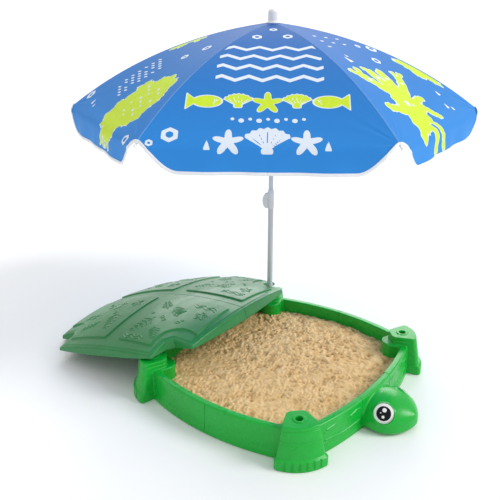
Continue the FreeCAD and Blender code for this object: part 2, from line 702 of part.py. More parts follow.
def main():
    front, rear, head, eyes, pupils = tub_parts()
    bolts = seam_bolts([V(0, s * (SIDE_Y - RIM_WIDTH / 2), z) for s in (-1, 1) for z in (40.0, 90.0)], V(1, 0, 0))
    side_x = SIDE_X - RIM_WIDTH / 2 - SIDE_X_BOW * (HEAD_HALF / SIDE_X_HALF) ** 2
    neck_bolts = seam_bolts([V(side_x, s * HEAD_HALF, z) for s in (-1, 1) for z in (40.0, 90.0)], V(0, 1, 0))
    front, rear = front.cut(bolts + neck_bolts), rear.cut(bolts)
    head = head.cut(neck_bolts)
    save("tub_front_half", front)
    save("tub_rear_half", rear)
    save("head", head)
    save("side_bolts", Part.makeCompound(bolts))
    save("head_bolts", Part.makeCompound(neck_bolts))
    for side, eye, pupil in zip(("right", "left"), eyes, pupils):
        save("eye_" + side, eye)
        save("pupil_" + side, pupil)
    save("sand_fill", sand())

    screws = lid_screws()
    for side, half in zip(("near", "far"), lid_halves()):
        save("lid_half_" + side, lean(half.cut(screws)))
    save("lid_screws", lean(Part.makeCompound(screws)))

    for name, make in (("lower_pole", lower_pole), ("pole_plug", pole_plug), ("lock_collar", lock_collar),
                       ("lock_lever", lock_lever), ("upper_pole", upper_pole), ("crown", crown),
                       ("rib_pins", rib_pins), ("finial", finial), ("runner", runner),
                       ("runner_pins", runner_pins)):
        save(name, in_socket(make()))
    save("lever_pin", in_socket(lever_pin_solid(0.0)))
    for name, shape in (("rib", rib()), ("rib_cap", rib_cap()), ("arm", arm()), ("cloth", cloth_sector())):
        for i in range(RIBS):
            save("%s_%d" % (name, i + 1), in_socket(spin(shape, FIRST_RIB_AZ + 60 * i)))

    tilt, ground = lid_tilt()
    states = arm_angles()
    print("lid leans %.3f degrees, tail edge on the ground at x %.2f" % (tilt, ground))
    print("rib pivot r %.1f z %.3f, arm joint %s" % (RIB_PIVOT_R, rib_point(RIB_PIVOT_R).z, rib_joint()))
    print("runner z open %.3f folded %.3f, arm angle %.3f to %.3f degrees" % (
        states[0][0], states[1][0], math.degrees(states[0][1]), math.degrees(states[1][1])))


main()
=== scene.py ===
"""Looks of the turtle sandbox, its leaning cover and its sunshade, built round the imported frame.

The moulded plastic is drawn as signed distances in millimetres and skinned. The sand is a grid of
heights, and the cloth is a grid of points over each rib. Everything lands in the frame's own metres.
"""
import json
import math

import bmesh
import bpy
import numpy as np
import openvdb
from mathutils import Matrix, Vector


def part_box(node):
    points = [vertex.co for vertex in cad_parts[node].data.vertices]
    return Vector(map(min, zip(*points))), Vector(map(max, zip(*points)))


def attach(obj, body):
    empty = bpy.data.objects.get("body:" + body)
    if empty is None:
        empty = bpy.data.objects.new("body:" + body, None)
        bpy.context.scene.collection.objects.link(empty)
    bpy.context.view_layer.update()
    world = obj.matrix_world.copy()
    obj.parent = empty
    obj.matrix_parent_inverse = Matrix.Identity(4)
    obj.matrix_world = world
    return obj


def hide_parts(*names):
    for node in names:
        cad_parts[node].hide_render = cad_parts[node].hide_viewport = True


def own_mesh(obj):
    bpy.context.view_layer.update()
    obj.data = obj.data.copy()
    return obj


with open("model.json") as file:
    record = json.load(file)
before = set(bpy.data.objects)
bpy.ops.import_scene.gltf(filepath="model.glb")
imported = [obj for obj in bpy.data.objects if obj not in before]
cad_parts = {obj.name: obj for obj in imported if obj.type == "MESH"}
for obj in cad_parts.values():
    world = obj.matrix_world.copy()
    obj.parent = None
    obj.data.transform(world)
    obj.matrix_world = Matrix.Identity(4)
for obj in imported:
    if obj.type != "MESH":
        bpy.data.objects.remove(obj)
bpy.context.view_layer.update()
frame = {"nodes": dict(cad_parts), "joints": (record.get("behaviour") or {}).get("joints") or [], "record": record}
MM = 0.001
JOINTS = {joint["name"]: joint for joint in frame["joints"]}
SOCKET = [mount for mount in frame["record"]["mounts"] if mount["name"] == "socket_front_left"][0]

# --- camera, light and fineness ---
CAMERA_AT = (1.4254, -2.0691, 1.540)
CAMERA_TURN = (69.07, 0.0, 37.61)  # degrees
CAMERA_LENS = 48.79
SKY = 0.72
# name, azimuth and elevation it shines from, strength, softness, all angles in degrees
SUNS = (("key", 28.0, 38.0, 1.70, 26.0), ("back", 124.0, 30.0, 1.35, 45.0))
FLOOR_REACH = 160.0  # metres
STEP_TUB, STEP_SAND, STEP_LID = ((2.8, 3.0, 2.9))
STEP_HEAD, GRADIENT_STEP, TINY = 2.5, 0.2, 1e-9
ROWS, COLUMNS, VALANCE_ROWS = ((170, 82, 18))

# --- sizes in millimetres, mostly as in the design ---
SOCKET_X, SOCKET_Y, SOCKET_R = SOCKET["pos_m"][0] / MM, SOCKET["pos_m"][1] / MM, SOCKET["dims"]["r_mm"]
RIM_Z, POST_Z, FLOOR_TOP, BORE_END_Z, GROUND_GAP = 125.0, 160.0, 11.0, 15.0, 0.4
SIDE_X, SIDE_X_BOW, SIDE_X_HALF = 449.0, 36.0, 313.0
SIDE_Y, SIDE_Y_BOW, SIDE_Y_HALF = 492.0, 45.0, 300.0
RIM_WIDTH, SHEET, BULGE, HEAD_HALF = 28.0, 3.0, 11.0, 110.0
FAN_IN, FAN_IN_HALF, FAN_SIDE, FAN_SIDE_HALF, FAN_OUT = -53.0, 34.0, 35.0, 70.0, 56.0
LEG_FLARE, FOOT_FLARE, FOOT_Z = 22.0, 9.0, 37.0
RING_R, RING_H = 24.0, 2.5
TOE_R, TOE_PITCH, TOE_COUNT = 5.0, 26.0, 6
LEG_LINES = ((144.0, 2.4), (106.0, 1.8), (97.0, 1.8), (86.0, 1.0))  # height, depth
# raised strokes beside the head, (across, up) at both ends and half their width; studs, (across, up)
WALL_STROKES = (((128, 46), (235, 42), 3.2), ((235, 42), (318, 52), 3.2), ((272, 96), (312, 91), 3.2),
                ((126, 94), (150, 99), 3.0), ((150, 99), (186, 90), 3.0))
WALL_STUDS = ((322, 84), (326, 38))
STUD_R, WALL_LIFT = 3.6, 3.6
HEAD_START_X, HEAD_NOSE_X, HEAD_WALL_X = 435.0, 626.0, 300.0
EYE_R, PUPIL_R, EYE_BULGE, EYE_EDGE = 37.5, 27.0, 6.0, 1.4
GLINTS = ((-1.5, 12.5, 8.2), (2.0, -13.0, 5.6), (11.5, 1.5, 2.4))  # across, up, radius
EYE_AT, EYE_AXIS = Vector((521, 85, 80)), Vector((0.36, 0.79, 0.58)).normalized()
SAND_EDGE_Z, SAND_TOP_Z, SAND_LOW_Z, SAND_REACH, SAND_GAP = 66.0, 80.0, 36.0, 464.0, 0.6
LID_X, LID_X_BOW, LID_Y, LID_Y_BOW, LID_PLAN_HALF = 432.0, 37.0, 478.0, 33.0, 400.0
LID_NOTCH_X, LID_NOTCH_Y = 285.0, 345.0
LID_SKIRT, LID_H, LID_REACH, LID_YAW, LID_CENTRE_X = 35.0, 115.0, 500.0, 3.5, -625.0
SHADE_R, SHADE_TIP_Z, SHADE_TOP_Z, SHADE_HOLE_R, RIB_ARCH = 896.0, 1058.0, 1412.0, 30.0, 60.0
VALANCE, VALANCE_CUT, VALANCE_ROLL, VALANCE_LEAN = 111.0, 140.0, 42.0, math.radians(86)
RIBS, FIRST_RIB_AZ, RIB_TURN, HALF_PANEL, CLOTH = 6, 34.73, 60.0, math.radians(30), 0.8
POLE = Vector(JOINTS["shade_swivel"]["pos_m"][:2])


# --- distances ---
def both(a, b, r):
    """Where two shapes meet, with the edge rounded to radius r."""
    return np.minimum(np.maximum(a, b), -r) + np.hypot(np.maximum(a + r, 0), np.maximum(b + r, 0))


def either(a, b, r):
    """Two shapes joined, with a fillet of radius r."""
    return -both(-a, -b, r)


def without(a, b, r):
    """The first shape with the second cut out of it."""
    return both(a, -b, r)


def least(*shapes):
    """The smallest of several distances: their shapes laid together."""
    best = shapes[0]
    for shape in shapes[1:]:
        best = np.minimum(best, shape)
    return best


def most(*shapes):
    """The largest of several distances: what their shapes share."""
    return -least(*[-shape for shape in shapes])


def drawn(p, q, shapes):
    """Distance from the nearest of several shapes, each a drawing function and its numbers."""
    return least(*[draw(p, q, *numbers) for draw, *numbers in shapes])


def ease(t):
    t = np.clip(t, 0, 1)
    return t * t * (3 - 2 * t)


def cap_radius(reach, rise):
    """Radius of an arc from half its chord and its height."""
    return (reach * reach + rise * rise) / (2 * rise)


def bowed(x, y, side_x, bow_x, half_y, side_y, bow_y, half_x, r):
    """Distance from a plan with four bowed sides."""
    rx, ry = cap_radius(half_y, bow_x), cap_radius(half_x, bow_y)
    ends = np.hypot(np.abs(x) + rx - side_x, y) - rx
    flanks = np.hypot(x, np.abs(y) + ry - side_y) - ry
    return both(ends, flanks, r)


def tub_plan(x, y):
    return bowed(x, y, SIDE_X, SIDE_X_BOW, SIDE_X_HALF, SIDE_Y, SIDE_Y_BOW, SIDE_Y_HALF, 60)


def cavity_plan(x, y):
    """The sand's space seen from above: the wall wraps each leg, furthest on the sand side."""
    u, v = leg_places(x, y)
    slope = (FAN_SIDE_HALF - FAN_IN_HALF) / (FAN_SIDE - FAN_IN)
    flank = (np.abs(v) - FAN_IN_HALF - slope * (u - FAN_IN)) / math.hypot(1, slope) - BULGE
    round_leg = both(flank, FAN_IN - 3 * BULGE - u, 26)
    return without(tub_plan(x, y) + RIM_WIDTH, round_leg, 14)


def capsule(p, q, a, b, r):
    """Distance from a round-ended stroke between two points of a plane."""
    d = (b[0] - a[0], b[1] - a[1])
    t = np.clip(((p - a[0]) * d[0] + (q - a[1]) * d[1]) / (d[0] ** 2 + d[1] ** 2), 0, 1)
    return np.hypot(p - a[0] - t * d[0], q - a[1] - t * d[1]) - r


def slab(p, q, p0, p1, q0, q1, r):
    """Distance from a rounded rectangle."""
    dx = np.abs(p - (p0 + p1) / 2) - (p1 - p0) / 2 + r
    dy = np.abs(q - (q0 + q1) / 2) - (q1 - q0) / 2 + r
    return np.hypot(np.maximum(dx, 0), np.maximum(dy, 0)) + np.minimum(np.maximum(dx, dy), 0) - r


def turned(p, q, cp, cq, turn):
    """Places measured from a centre, in directions turned by an angle."""
    c, s = math.cos(turn), math.sin(turn)
    return (p - cp) * c + (q - cq) * s, (q - cq) * c - (p - cp) * s


# --- skins ---
def unit(vectors):
    """Vectors brought to length one."""
    return vectors / np.maximum(np.linalg.norm(vectors, axis=-1, keepdims=True), TINY)


def gradient(field, points):
    """How fast a distance field grows along each axis."""
    parts = []
    for axis in np.eye(3) * GRADIENT_STEP:
        parts.append((field(*(points + axis).T) - field(*(points - axis).T)) / (2 * GRADIENT_STEP))
    return np.stack(parts, 1)


def skin(name, field, low, high, step, adapt=0.0, place=None):
    """A closed mesh where a distance field is zero, its points drawn onto the surface."""
    axes = [np.arange(a - step, b + 2 * step, step) for a, b in zip(low, high)]
    values = field(*np.meshgrid(*axes, indexing="ij", sparse=True))
    values = np.clip(values / step, -3, 3).astype(np.float32)
    grid = openvdb.FloatGrid(3.0)
    grid.copyFromArray(np.ascontiguousarray(values))
    points, triangles, quads = grid.convertToPolygons(isovalue=0.0, adaptivity=adapt)
    points = points.astype(float) * step + np.array([axis[0] for axis in axes])
    for _ in range(3):
        slope = gradient(field, points)
        size = np.maximum((slope ** 2).sum(1), 0.05)
        shift = (field(*points.T) / size)[:, None] * slope
        length = np.maximum(np.linalg.norm(shift, axis=1), TINY)
        points -= shift * np.minimum(1, 0.6 * step / length)[:, None]
    normals = unit(gradient(field, points))
    turn = np.array(place or Matrix.Identity(4))
    points = (points * MM) @ turn[:3, :3].T + turn[:3, 3]
    normals = normals @ turn[:3, :3].T
    mesh = smooth_mesh(name, points.tolist(), triangles.tolist() + quads.tolist())
    mesh.validate()
    if len(mesh.vertices) == len(normals):
        mesh.normals_split_custom_set_from_vertices(normals.tolist())
    return link(name, mesh)


def grid_faces(rows, columns):
    """Four corners for each cell of a grid of points."""
    index = np.arange(rows * columns).reshape(rows, columns)
    corners = (index[:-1, :-1], index[1:, :-1], index[1:, 1:], index[:-1, 1:])
    return np.stack(corners, -1).reshape(-1, 4)


def smooth(mesh):
    mesh.polygons.foreach_set("use_smooth", [True] * len(mesh.polygons))
    return mesh


def smooth_mesh(name, points, faces):
    mesh = bpy.data.meshes.new(name)
    mesh.from_pydata(points, [], faces)
    return smooth(mesh)


def attribute(mesh, name, values):
    """A number held at each point of a mesh, for its material to read."""
    layer = mesh.attributes.new(name, "FLOAT", "POINT")
    layer.data.foreach_set("value", values.astype(np.float32).ravel())


def link(name, mesh):
    obj = bpy.data.objects.new(name, mesh)
    bpy.context.scene.collection.objects.link(obj)
    return obj


def dress(obj, body, look, slot, *replaced):
    """Give a piece its material and body, and hide the CAD nodes it stands for; its slot is not used."""
    obj.data.materials.clear()
    obj.data.materials.append(look)
    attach(obj, body)
    if replaced:
        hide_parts(*replaced)
    return obj


# --- materials ---
class Look:
    """A node material: sockets are set by name, and nodes are added in one call each."""

    def __init__(self, name, **inputs):
        self.material = bpy.data.materials.new(name)
        self.material.use_nodes = True
        self.tree = self.material.node_tree
        self.shader = self.tree.nodes["Principled BSDF"]
        self.set(self.shader, inputs)

    def set(self, node, inputs):
        for key, value in inputs.items():
            socket = node.inputs[key if isinstance(key, int) else key.replace("_", " ")]
            if isinstance(value, bpy.types.NodeSocket):
                self.tree.links.new(value, socket)
            elif socket.type == "RGBA" and len(value) == 3:
                socket.default_value = (*value, 1.0)
            else:
                socket.default_value = value

    def node(self, kind, inputs=None, **settings):
        made = self.tree.nodes.new("ShaderNode" + kind)
        for key, value in settings.items():
            setattr(made, key, value)
        self.set(made, inputs or {})
        return made

    def noise(self, size, detail=3.0, rough=0.5, stretch=None):
        """Noise whose lumps are about size metres, in the frame's coordinates."""
        where = self.node("TexCoord").outputs["Object"]
        if stretch:
            where = self.node("Mapping", {"Vector": where, "Scale": stretch}).outputs[0]
        inputs = {"Vector": where, "Scale": 1 / size, "Detail": detail, "Roughness": rough}
        return self.node("TexNoise", inputs).outputs["Fac"]

    def span(self, value, low, high, to_low, to_high):
        return self.node("MapRange", {"Value": value, 1: low, 2: high, 3: to_low, 4: to_high}).outputs[0]

    def held(self, name):
        """A number held on the mesh."""
        return self.node("Attribute", attribute_name=name).outputs["Fac"]

    def maths(self, operation, a, b=0.0):
        return self.node("Math", {0: a, 1: b}, operation=operation).outputs[0]

    def mix(self, share, a, b):
        return self.node("Mix", {"Factor": share, 6: a, 7: b}, data_type="RGBA").outputs[2]

    def bumps(self, *layers):
        """Stack height layers, each (value, metres, strength), onto the shader's normal."""
        normal = None
        for value, distance, strength in layers:
            inputs = {"Height": value, "Distance": distance, "Strength": strength}
            if normal is not None:
                inputs["Normal"] = normal
            normal = self.node("Bump", inputs).outputs[0]
        self.tree.links.new(normal, self.shader.inputs["Normal"])

    def colour(self, socket):
        self.tree.links.new(socket, self.shader.inputs["Base Color"])

    def roughness(self, socket):
        self.tree.links.new(socket, self.shader.inputs["Roughness"])


def moulded(name, light, dark, rough, coat, grain):
    """Moulded polyethylene: faint flow marks, fine grain and rubbed patches."""
    look = Look(name, Coat_Weight=coat, Coat_Roughness=0.12, IOR=1.5, Specular_IOR_Level=0.38)
    flow = look.noise(0.22, 2.0)
    fine = look.noise(0.02, 3.0)
    tone = look.maths("ADD", look.maths("MULTIPLY", flow, 0.7), look.maths("MULTIPLY", fine, 0.3))
    look.colour(look.mix(look.span(tone, 0.35, 0.65, 0, 1), dark, light))
    scuffs = look.noise(0.035, 5.0, 0.7, (1.0, 0.25, 1.0))
    look.roughness(look.span(scuffs, 0.42, 0.72, rough, rough + 0.16))
    look.bumps((look.noise(0.011, 2.0), 0.0012, 0.10), (look.noise(grain, 2.0), 0.0003, 0.35))
    return look.material


def sand_look():
    look = Look("sand", Roughness=0.93, Specular_IOR_Level=0.25)
    where = look.node("TexCoord").outputs["Object"]
    grains = look.node("TexVoronoi", {"Vector": where, "Scale": 1 / 0.0026, "Randomness": 1.0})
    speck = look.span(grains.outputs["Distance"], 0.1, 0.75, 0.0, 1.0)
    damp = look.span(look.noise(0.05, 5.0, 0.65), 0.35, 0.68, 0.0, 1.0)
    pale = look.mix(speck, (0.97, 0.72, 0.40), (0.86, 0.58, 0.28))
    dry = look.mix(damp, pale, (0.80, 0.51, 0.22))
    # painted shade: where the crumble relief is low, in the hollows between clods and crumbs, the sand is darkened
    # towards deep brown
    look.colour(look.mix(look.span(look.held("crumble"), 1.5, -6.0, 0.0, 0.75), dry, (0.36, 0.19, 0.06)))
    look.bumps((look.noise(0.009, 4.0, 0.7), 0.0035, 0.85), (grains.outputs["Distance"], 0.0012, 0.7))
    return look.material


def plain(look, share, colour, shade, gloss_noise, rough, spread, *layers):
    """One colour with a faint darker mottling, and gloss that wanders."""
    look.colour(look.mix(share, colour, tuple(c * shade for c in colour)))
    look.roughness(look.span(gloss_noise, 0.3, 0.7, rough, rough + spread))
    look.bumps(*layers)
    return look.material


def painted(name, colour, rough=0.32):
    """White powder coat or moulded white plastic."""
    look = Look(name, Coat_Weight=0.15, Coat_Roughness=0.2)
    dust = look.span(look.noise(0.03, 4.0, 0.6), 0.45, 0.75, 0.0, 1.0)
    grain = (look.noise(0.0016, 2.0), 0.0002, 0.35)
    return plain(look, dust, colour, 0.93, look.noise(0.012), rough, 0.15, grain)


def metal(name, colour, rough):
    look = Look(name, Metallic=1.0)
    streaks = look.noise(0.004, 3.0, 0.6, (1.0, 1.0, 0.08))
    return plain(look, streaks, colour, 0.8, streaks, rough, 0.2, (streaks, 0.0001, 0.3))


def eye_look(name, colour, rough, gloss):
    look = Look(name, Specular_IOR_Level=gloss)
    grain = (look.noise(0.004), 0.0001, 0.2)
    return plain(look, look.noise(0.01), colour, 0.9, look.noise(0.006), rough, 0.08, grain)


def cloth_look(name, top, edge, printed):
    """Woven polyester, its blue painted darker at the top and lighter towards the hem as shade and light on the
    slope; prints come from distances held on the mesh, in metres.
    """
    look = Look(name, Roughness=0.6, Sheen_Weight=0.04, Sheen_Roughness=0.4, Specular_IOR_Level=0.16)
    # painted shade and light: down the panel the blue goes from the darker top colour to the lighter hem colour,
    # with a little random tone
    tone = look.maths("ADD", look.held("down"), look.maths("MULTIPLY", look.noise(0.06, 3.0), 0.06))
    colour = look.mix(look.span(tone, 0.05, 1.05, 0, 1), top, edge)
    if printed:
        lime, white = look.held("lime"), look.held("white")
        rim = look.span(lime, 0.0042, 0.0034, 0, 1)
        colour = look.mix(rim, colour, (0.74, 0.82, 0.86))
        ink = look.mix(look.noise(0.02, 3.0), (0.52, 0.72, 0.02), (0.66, 0.82, 0.05))
        colour = look.mix(look.span(lime, 0.0004, -0.0004, 0, 1), colour, ink)
        colour = look.mix(look.span(white, 0.0004, -0.0004, 0, 1), colour, (0.72, 0.79, 0.88))
    beside = look.maths("ABSOLUTE", look.maths("SUBTRACT", look.held("seam"), 0.0022))
    stitch = look.span(beside, 0.0009, 0.0003, 0, 0.5)
    look.colour(look.mix(stitch, colour, (0.55, 0.68, 0.85)))
    weave = look.node("UVMap", uv_map="weave").outputs[0]
    threads = []
    for direction in ("X", "Y"):
        wave = look.node("TexWave", {"Vector": weave, "Scale": 320.0, "Distortion": 0.4},
                         bands_direction=direction)
        threads.append(wave.outputs["Fac"])
    look.bumps((look.maths("MULTIPLY", *threads), 0.00015, 0.35), (look.noise(0.05, 3.0), 0.002, 0.25))
    return look.material


# --- tub ---
def leg_places(x, y):
    """Each point in its nearest leg's own directions, u outwards and v across."""
    px, py = np.abs(x) - SOCKET_X, np.abs(y) - SOCKET_Y
    return (px + py) / math.sqrt(2), (py - px) / math.sqrt(2)


def fan(u, v, flare):
    """A leg seen from above: a fan that opens outwards to a bowed front."""
    half_in, half_out = FAN_IN_HALF, FAN_SIDE_HALF + flare
    side, out = FAN_SIDE + flare * 0.6, FAN_OUT + flare
    run, spread = side - FAN_IN, half_out - half_in
    length = np.sqrt(run * run + spread * spread)
    flank = ((np.abs(v) - half_in) * run - (u - FAN_IN) * spread) / length
    radius = cap_radius(half_out, out - side)
    front = np.hypot(u - out + radius, v) - radius
    return both(both(flank, front, 14), FAN_IN - u, 15)


def leg(x, y, z):
    """A leg that widens downwards, with moulded lines round it and toe grooves in its foot."""
    u, v = leg_places(x, y)
    flare = LEG_FLARE * np.clip((POST_Z - z) / (POST_Z - FOOT_Z), -0.05, 1)
    foot = FOOT_FLARE * ease((FOOT_Z + 10 - z) / 12)
    side = fan(u, v, flare + foot)
    for height, depth in LEG_LINES:
        side = side + depth * np.exp(-((z - height) / 2.6) ** 2)
    widest = LEG_FLARE + FOOT_FLARE
    radius = cap_radius(FAN_SIDE_HALF + widest, FAN_OUT - FAN_SIDE + 0.4 * widest)
    reach = FAN_OUT + widest + 1
    for i in range(TOE_COUNT):
        at = (i - (TOE_COUNT - 1) / 2) * TOE_PITCH
        edge = reach - radius + math.sqrt(radius ** 2 - at * at)
        toe = np.hypot(u - edge, v - at) - TOE_R
        side = without(side, both(toe, np.maximum(z - FOOT_Z - 6, 6 - z), 3), 1.5)
    return both(both(side, z - POST_Z, 3.0), GROUND_GAP - z, 4)


def wall_relief(x, y, z):
    """Raised strokes and studs on the head's side, between the head and the legs."""
    across = np.abs(y)
    marks = [capsule(across, z, *stroke) for stroke in WALL_STROKES]
    marks += [np.hypot(across - at, z - up) - STUD_R for at, up in WALL_STUDS]
    return WALL_LIFT * ease(0.5 - least(*marks) / 5.0) * (x > 0)


def tub_solid(x, y, z):
    """The whole tub with its legs, its sand space and its four sockets."""
    plan = tub_plan(x, y)
    skirt = 4.0 * ease((30 - z) / 9) + 3.5 * np.clip(1 - z / RIM_Z, 0, 1)
    wall = both(plan - skirt - wall_relief(x, y, z), z - RIM_Z, 7.0)
    wall = both(wall, GROUND_GAP - z, 4)
    body = either(wall, leg(x, y, z), 5)
    body = without(body, both(cavity_plan(x, y), FLOOR_TOP - z, 12), 5)
    bore = np.hypot(np.abs(x) - SOCKET_X, np.abs(y) - SOCKET_Y)
    ring = both(bore - RING_R, z - POST_Z - RING_H, 1.2)
    body = either(body, both(ring, POST_Z - 4 - z, 0.5), 1.0)
    return without(body, both(bore - SOCKET_R, BORE_END_Z - z, 0.5), 1.6)


def head_solid(x, y, z):
    """A dome that is widest low down, over a flat underside."""
    t = np.clip((x - HEAD_START_X) / (HEAD_NOSE_X - 10 - HEAD_START_X), 0, 0.995)
    round_off = np.sqrt(1 - t ** 5)
    half = (112 + 32 * t - 80 * t ** 3) * round_off
    top, low = 109 + 58 * t - 101 * t ** 2, 0.5 + 22 * t ** 7
    mid = low + 0.31 * (top - low)
    tall = np.where(z > mid, top - mid, mid - low)
    power = np.where(z > mid, 2.1, 4.2)
    ratio = (np.abs(y / half) ** power + np.abs((z - mid) / tall) ** power) ** (1 / power)
    side = (ratio - 1) * np.minimum(half, tall)
    end = x - (HEAD_NOSE_X - 9)
    return both(side, np.maximum(end, HEAD_START_X - 20 - x), 10)


def eye_frame(side):
    """Centre, axis and up direction of an eye, up being the most upright in its plane."""
    centre = Vector((EYE_AT.x, side * EYE_AT.y, EYE_AT.z))
    axis = Vector((EYE_AXIS.x, side * EYE_AXIS.y, EYE_AXIS.z))
    up = (Vector((0, 0, 1)) - axis * axis.z).normalized()
    return centre, axis, up


def head_field(x, y, z):
    """The head with its part of the wall, and a seat for each eye."""
    cavity = cavity_plan(x, y)
    section = np.maximum(np.abs(y) - HEAD_HALF + 0.3, SHEET + 0.3 - cavity)
    wall = both(tub_solid(x, y, z), np.maximum(section, HEAD_WALL_X - x), 1.6)
    outside = both(head_solid(x, y, z), -tub_plan(x, y) - 10, 1)
    body = either(wall, outside, 9)
    for side in (-1, 1):
        centre, axis, _ = eye_frame(side)
        px, py, pz = x - centre.x, y - centre.y, z - centre.z
        along = px * axis.x + py * axis.y + pz * axis.z
        off = np.sqrt(np.maximum(px * px + py * py + pz * pz - along * along, 0))
        cup = both(off - EYE_R - 3, np.maximum(along, -along - 12), 2.5)
        body = either(body, cup, 5)
        seat = both(off - EYE_R - 0.4, -along - 4, 0.5)
        body = without(body, seat, 1.2)
    return body


def half_field(sign):
    """The front or rear tub half, the front one without the head's part of the wall."""
    def field(x, y, z):
        body = both(tub_solid(x, y, z), 0.3 - sign * x, 1.4)
        if sign > 0:
            section = np.maximum(np.abs(y) - HEAD_HALF, SHEET - cavity_plan(x, y))
            body = both(body, -np.maximum(section, HEAD_WALL_X - x), 1.4)
        return body
    return field


def make_tub(look):
    reach_x, reach_y = SIDE_X + 18, SIDE_Y + 14
    for name, sign in (("tub_front_half", 1), ("tub_rear_half", -1)):
        low = (0 if sign > 0 else -reach_x, -reach_y, 0)
        high = (reach_x if sign > 0 else 0, reach_y, POST_Z + RING_H)
        obj = skin(name + "_moulding", half_field(sign), low, high, STEP_TUB, 0.004)
        dress(obj, "tub", look, "green_plastic", name)
    obj = skin("head_moulding", head_field, (400, -134, 0), (628, 134, 136), STEP_HEAD, 0.01)
    dress(obj, "tub", look, "green_plastic", "head")


def lathe(name, profile, centre, axis, steps=64):
    """A closed solid of revolution from (radius, height) points in millimetres."""
    turn = axis.to_track_quat("Z", "Y").to_matrix()
    made = bmesh.new()
    rings = []
    for radius, height in profile:
        count = steps if radius > 1e-6 else 1
        ring = []
        for i in range(count):
            a = 2 * math.pi * i / count
            place = turn @ Vector((radius * math.cos(a), radius * math.sin(a), height))
            ring.append(made.verts.new((centre + place) * MM))
        rings.append(ring)
    for first, second in zip(rings, rings[1:]):
        for i in range(steps):
            corners = [first[i % len(first)], first[(i + 1) % len(first)],
                       second[(i + 1) % len(second)], second[i % len(second)]]
            made.faces.new(list(dict.fromkeys(corners)))
    bmesh.ops.recalc_face_normals(made, faces=made.faces)
    mesh = bpy.data.meshes.new(name)
    made.to_mesh(mesh)
    made.free()
    return link(name, smooth(mesh))


def dome(radius, rise, base, low, count=7):
    """Profile of a shallow dome with a rounded edge, closed underneath."""
    profile = [(0, low), (radius - 0.6, low), (radius, low + 0.6), (radius, base - 0.8)]
    profile.append((radius - 0.25, base - 0.2))
    for i in range(count):
        a = i / (count - 1)
        profile.append(((radius - 0.8) * (1 - a), base + rise * (1 - (1 - a) ** 2)))
    return profile


def make_eyes(white, black):
    """Domed eyes: the pupil follows the white's curve, and the glints lie on the pupil."""
    share = 1 - (PUPIL_R / EYE_R) ** 2
    rim, crest = EYE_EDGE + EYE_BULGE * share + 0.7, EYE_EDGE + EYE_BULGE + 0.9
    for side, name in ((-1, "right"), (1, "left")):
        centre, axis, up = eye_frame(side)
        across = up.cross(axis)
        disc = lathe("eye_%s_disc" % name, dome(EYE_R, EYE_BULGE, EYE_EDGE, -4), centre, axis)
        dress(disc, "tub", white, "eye_white", "eye_" + name)
        pupil = lathe("pupil_%s_disc" % name, dome(PUPIL_R, crest - rim, rim, rim - 2.5), centre, axis)
        dress(pupil, "tub", black, "eye_black", "pupil_" + name)
        for i, (a, b, size) in enumerate(GLINTS):
            rise = rim + (crest - rim) * (1 - (math.hypot(a, b) / PUPIL_R) ** 2)
            at = centre + axis * (rise + 0.1) + across * a * side + up * b
            lean = (axis + (across * a * side + up * b) * 0.008).normalized()
            profile = [(0, -0.8), (size, -0.8), (size * 0.97, 0.1), (size * 0.6, 0.35), (0, 0.45)]
            glint = lathe("glint_%s_%d" % (name, i), profile, at, lean, 32)
            dress(glint, "tub", white, "eye_white")


# --- sand ---
def value_noise(x, y, size, seed):
    """Smooth noise on a lattice, from -1 to 1."""
    lattice = np.random.default_rng(seed).uniform(-1, 1, (512, 512))
    px, py = x / size + 200.37, y / size + 200.61
    ix, iy = np.floor(px).astype(int), np.floor(py).astype(int)
    tx, ty = ease(px - ix), ease(py - iy)

    def at(i, j):
        return lattice[(ix + i) % 512, (iy + j) % 512]

    return (at(0, 0) * (1 - tx) + at(1, 0) * tx) * (1 - ty) + (at(0, 1) * (1 - tx) + at(1, 1) * tx) * ty


def sand_height(x, y):
    """Mounded and crumbled: broad heaps, rough patches of clods, and fine crumbs."""
    mound = SAND_TOP_Z - (SAND_TOP_Z - SAND_EDGE_Z) * (np.hypot(x, y) / SAND_REACH) ** 2
    slant, other = 0.8 * x + 0.6 * y, 0.8 * y - 0.6 * x
    height = mound + 4.0 * value_noise(x, y, 170, 1) + 3.2 * value_noise(slant, other, 70, 2)
    rough = 0.62 + 0.38 * value_noise(other, slant, 95, 3)
    clods = 1 - np.abs(value_noise(slant, other, 30, 4)) * 2.2
    crumbs = 1 - np.abs(value_noise(x + 0.3 * y, y, 13, 5)) * 2.2
    bits = value_noise(slant, other, 6.5, 6)
    furrows = value_noise(other, 0.35 * slant, 9, 7)
    crumble = rough * (4.2 * clods + 4.6 * crumbs + 2.8 * bits) + 1.5 * furrows
    return height + crumble, crumble


def sand_plan(x, y):
    return cavity_plan(x, y) + SAND_GAP


